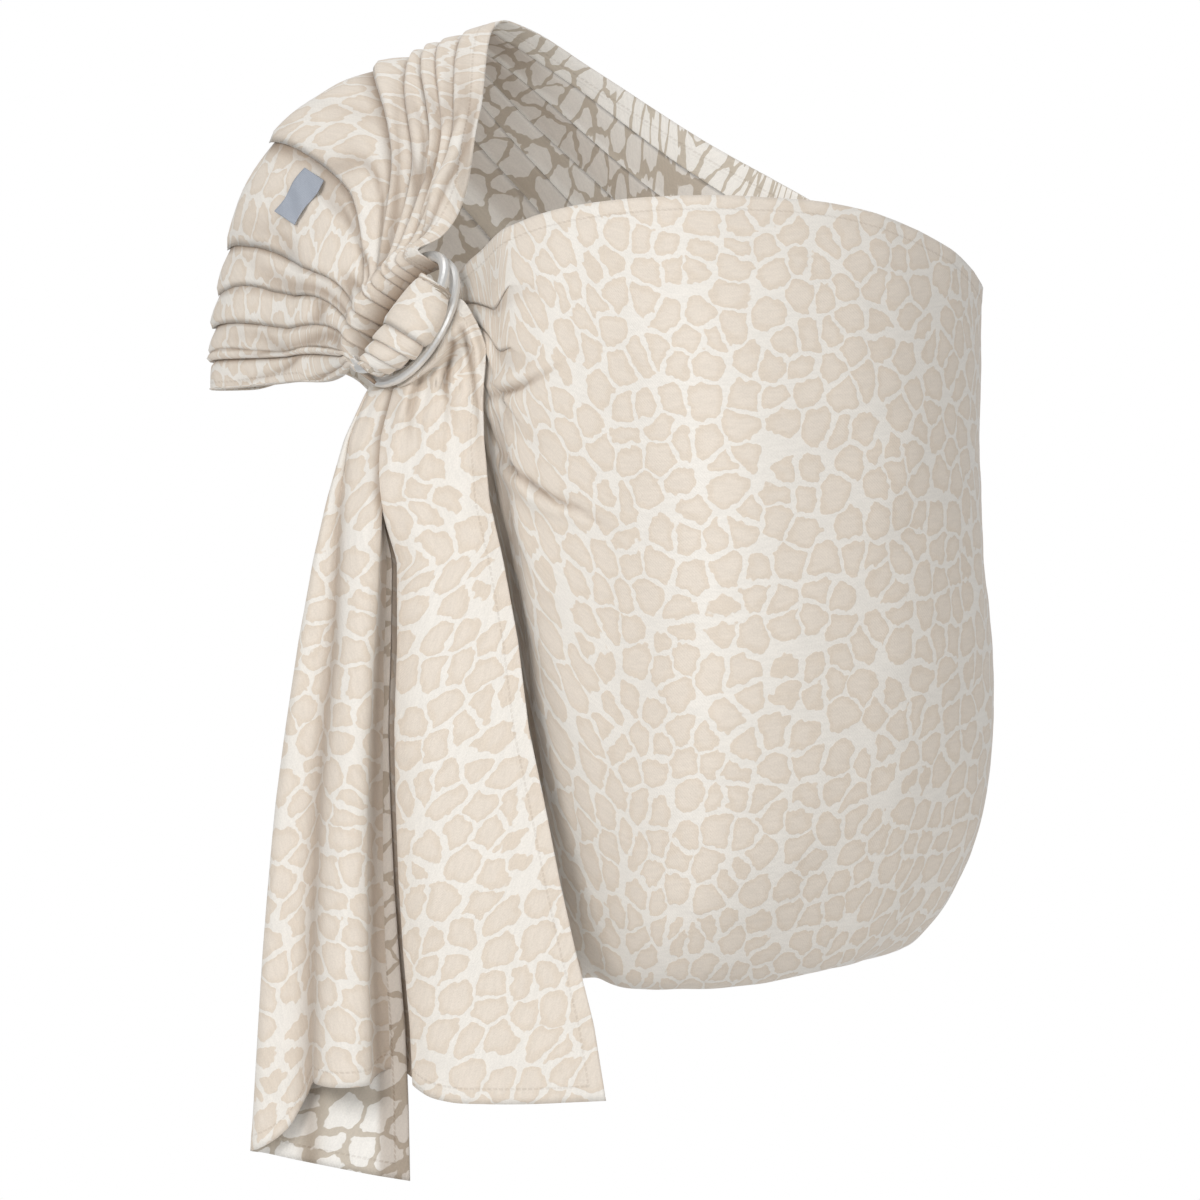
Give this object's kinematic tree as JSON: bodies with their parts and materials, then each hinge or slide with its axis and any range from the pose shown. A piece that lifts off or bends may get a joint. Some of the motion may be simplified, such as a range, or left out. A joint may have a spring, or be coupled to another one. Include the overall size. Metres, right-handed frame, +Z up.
{
  "type": "baby ring sling",
  "caption": "Long patterned cloth worn over one shoulder as a baby's pouch, gathered through loose rings at the chest, with its free end hanging as a tail.",
  "frame": {"origin": "the top of the wearer's right shoulder, where the cloth rests on it", "axes": "+X towards the wearer's left, +Y towards the wearer's back, +Z up"},
  "size_m": [0.4594, 0.3622, 0.6742],
  "materials": {
    "jacquard_cloth": "woven cotton jacquard with a faint satin sheen",
    "hem_cloth": "the same cloth, turned over twice and sewn",
    "label_tape": "plain woven tape",
    "satin_aluminium": "satin anodised"
  },
  "bodies": {
    "sling": {"shoulder_fan": "jacquard_cloth", "shoulder_cap": "jacquard_cloth", "back_panel": "jacquard_cloth", "hip_panel": "jacquard_cloth", "pouch_front": "jacquard_cloth", "pouch_seat": "jacquard_cloth", "pouch_gather": "jacquard_cloth", "ring_wrap": "jacquard_cloth", "ring_casing": "jacquard_cloth", "tail_throat": "jacquard_cloth", "upper_rail_hem": "hem_cloth", "lower_rail_hem": "hem_cloth", "label": "label_tape"},
    "ring_front": {"ring_front": "satin_aluminium"},
    "ring_back": {"ring_back": "satin_aluminium"},
    "tail": {"tail_right_fall": "jacquard_cloth", "tail_left_fall": "jacquard_cloth", "tail_right_hem": "hem_cloth", "tail_left_hem": "hem_cloth"}
  },
  "joints": [
    {"name": "ring_front_slip", "type": "hinge", "parent": "sling", "child": "ring_front", "pos_m": [0.0064, -0.108, -0.152], "axis": [-0.7627, -0.4558, 0.4588], "continuous": true},
    {"name": "ring_back_slip", "type": "hinge", "parent": "sling", "child": "ring_back", "pos_m": [-0.001, -0.1161, -0.1464], "axis": [-0.7306, -0.3808, 0.5667], "continuous": true},
    {"name": "tail_swing", "type": "hinge", "parent": "sling", "child": "tail", "pos_m": [0.012, -0.14, -0.204], "axis": [-1, 0, 0], "range_deg": [0, 60]}
  ]
}
